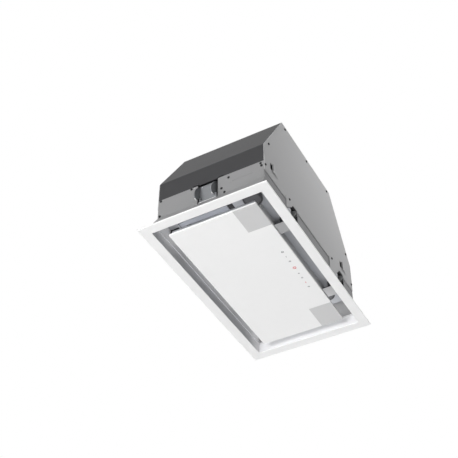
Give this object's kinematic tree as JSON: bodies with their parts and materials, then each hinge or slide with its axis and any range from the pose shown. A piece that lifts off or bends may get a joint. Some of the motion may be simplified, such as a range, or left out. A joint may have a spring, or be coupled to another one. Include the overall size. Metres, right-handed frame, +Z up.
{
  "type": "canopy range hood",
  "caption": "Built-in canopy range hood: white trim frame and hinged glass panel with a suction slot round it, sloped steel housing with clamps, blower, grease filter, lamps and a duct spigot.",
  "frame": {"origin": "middle of the trim frame's underside, which is the lowest face of the hood", "axes": "+X along the hood, to the right of the cook who faces it, -Y towards the cook, +Z up to the duct spigot"},
  "size_m": [0.52, 0.296, 0.359],
  "materials": {
    "white_enamel": "satin",
    "stainless": "brushed",
    "zinc_steel": "satin",
    "dark_shell": "satin",
    "clamp_steel": "satin",
    "bright_pins": "bright",
    "spring_steel": "bright",
    "black_screws": "satin",
    "filter_aluminium": "satin",
    "black_plastic": "matte",
    "dark_plastic": "matte",
    "lamp_body": "matte",
    "opal": "satin",
    "white_glass": "glossy, painted white behind",
    "circuit_board": "matte",
    "grey_plastic": "matte",
    "motor_case": "satin",
    "capacitor_can": "satin",
    "magnet": "matte"
  },
  "bodies": {
    "housing": {"trim_frame": "white_enamel", "recess_collar": "stainless", "tray_wall_front": "stainless", "tray_wall_rear": "stainless", "ceiling_plate": "stainless", "end_wall_left": "zinc_steel", "end_wall_right": "zinc_steel", "side_panel_front": "zinc_steel", "side_panel_rear": "zinc_steel", "claw_housings": "zinc_steel", "hinge_bracket_left": "zinc_steel", "hinge_bracket_right": "zinc_steel", "motor_bracket": "zinc_steel", "inlet_ring_front": "zinc_steel", "inlet_ring_rear": "zinc_steel", "upper_shell": "dark_shell", "wire_channel": "dark_shell", "latch_rail": "dark_shell", "flap_pin": "bright_pins", "hinge_pins": "bright_pins", "end_clamp_pins": "bright_pins", "claw_pins": "bright_pins", "end_clamp_springs": "spring_steel", "claw_springs": "spring_steel", "housing_screws": "black_screws", "filter_frame": "filter_aluminium", "filter_mesh": "filter_aluminium", "outlet_spigot": "black_plastic", "cable_gland": "black_plastic", "scroll_front": "dark_plastic", "scroll_rear": "dark_plastic", "led_lamp_left": "lamp_body", "led_lamp_right": "lamp_body", "lamp_lens_left": "opal", "lamp_lens_right": "opal", "control_board": "circuit_board", "control_box": "grey_plastic", "control_box_lid": "grey_plastic", "led_driver": "grey_plastic", "motor": "motor_case", "capacitor": "capacitor_can", "catch_magnets": "magnet"},
    "impeller": {"impeller": "dark_plastic", "motor_shaft": "bright_pins"},
    "filter_latch": {"filter_latch": "black_plastic"},
    "flap_left": {"flap_left": "dark_plastic"},
    "flap_right": {"flap_right": "dark_plastic"},
    "glass_door": {"glass_panel": "white_glass", "panel_carrier": "stainless", "touch_board": "circuit_board", "light_diffuser_left": "opal", "light_diffuser_right": "opal", "hinge_leaf_left": "zinc_steel", "hinge_leaf_right": "zinc_steel"},
    "end_clamp_left": {"end_clamp_left": "clamp_steel"},
    "end_clamp_right": {"end_clamp_right": "clamp_steel"},
    "claw_front_left": {"claw_front_left": "clamp_steel"},
    "claw_front_right": {"claw_front_right": "clamp_steel"},
    "claw_rear_left": {"claw_rear_left": "clamp_steel"},
    "claw_rear_right": {"claw_rear_right": "clamp_steel"}
  },
  "joints": [
    {"name": "panel_hinge", "type": "hinge", "parent": "housing", "child": "glass_door", "pos_m": [0, 0.101, 0.019], "axis": [1, 0, 0], "range_deg": [0, 85]},
    {"name": "filter_latch_slide", "type": "slide", "parent": "housing", "child": "filter_latch", "axis": [0, 1, 0], "range_m": [0, 0.006], "stiffness_N_per_m": 300, "springref_m": -0.006},
    {"name": "impeller_spin", "type": "hinge", "parent": "housing", "child": "impeller", "pos_m": [-0.06612, 0, 0.19243], "axis": [0, 1, 0], "continuous": true},
    {"name": "flap_left_hinge", "type": "hinge", "parent": "housing", "child": "flap_left", "pos_m": [0, 0, 0.334], "axis": [0, 1, 0], "range_deg": [0, 75]},
    {"name": "flap_right_hinge", "type": "hinge", "parent": "housing", "child": "flap_right", "pos_m": [0, 0, 0.334], "axis": [0, -1, 0], "range_deg": [0, 75]},
    {"name": "end_clamp_left_hinge", "type": "hinge", "parent": "housing", "child": "end_clamp_left", "pos_m": [-0.214, 0.0065, 0.096], "axis": [0, -1, 0], "range_deg": [0, 28], "stiffness_Nm_per_rad": 0.4, "springref_deg": -20.05},
    {"name": "end_clamp_right_hinge", "type": "hinge", "parent": "housing", "child": "end_clamp_right", "pos_m": [0.214, -0.0065, 0.096], "axis": [0, 1, 0], "range_deg": [0, 28], "stiffness_Nm_per_rad": 0.4, "springref_deg": -20.05},
    {"name": "claw_front_left_hinge", "type": "hinge", "parent": "housing", "child": "claw_front_left", "pos_m": [-0.083, -0.1165, 0.061], "axis": [-1, 0, 0], "range_deg": [0, 30], "stiffness_Nm_per_rad": 0.15, "springref_deg": -20.05},
    {"name": "claw_front_right_hinge", "type": "hinge", "parent": "housing", "child": "claw_front_right", "pos_m": [0.15699, -0.1165, 0.061], "axis": [-1, 0, 0], "range_deg": [0, 30], "stiffness_Nm_per_rad": 0.15, "springref_deg": -20.05},
    {"name": "claw_rear_left_hinge", "type": "hinge", "parent": "housing", "child": "claw_rear_left", "pos_m": [-0.15699, 0.1165, 0.061], "axis": [1, 0, 0], "range_deg": [0, 30], "stiffness_Nm_per_rad": 0.15, "springref_deg": -20.05},
    {"name": "claw_rear_right_hinge", "type": "hinge", "parent": "housing", "child": "claw_rear_right", "pos_m": [0.083, 0.1165, 0.061], "axis": [1, 0, 0], "range_deg": [0, 30], "stiffness_Nm_per_rad": 0.15, "springref_deg": -20.05}
  ]
}
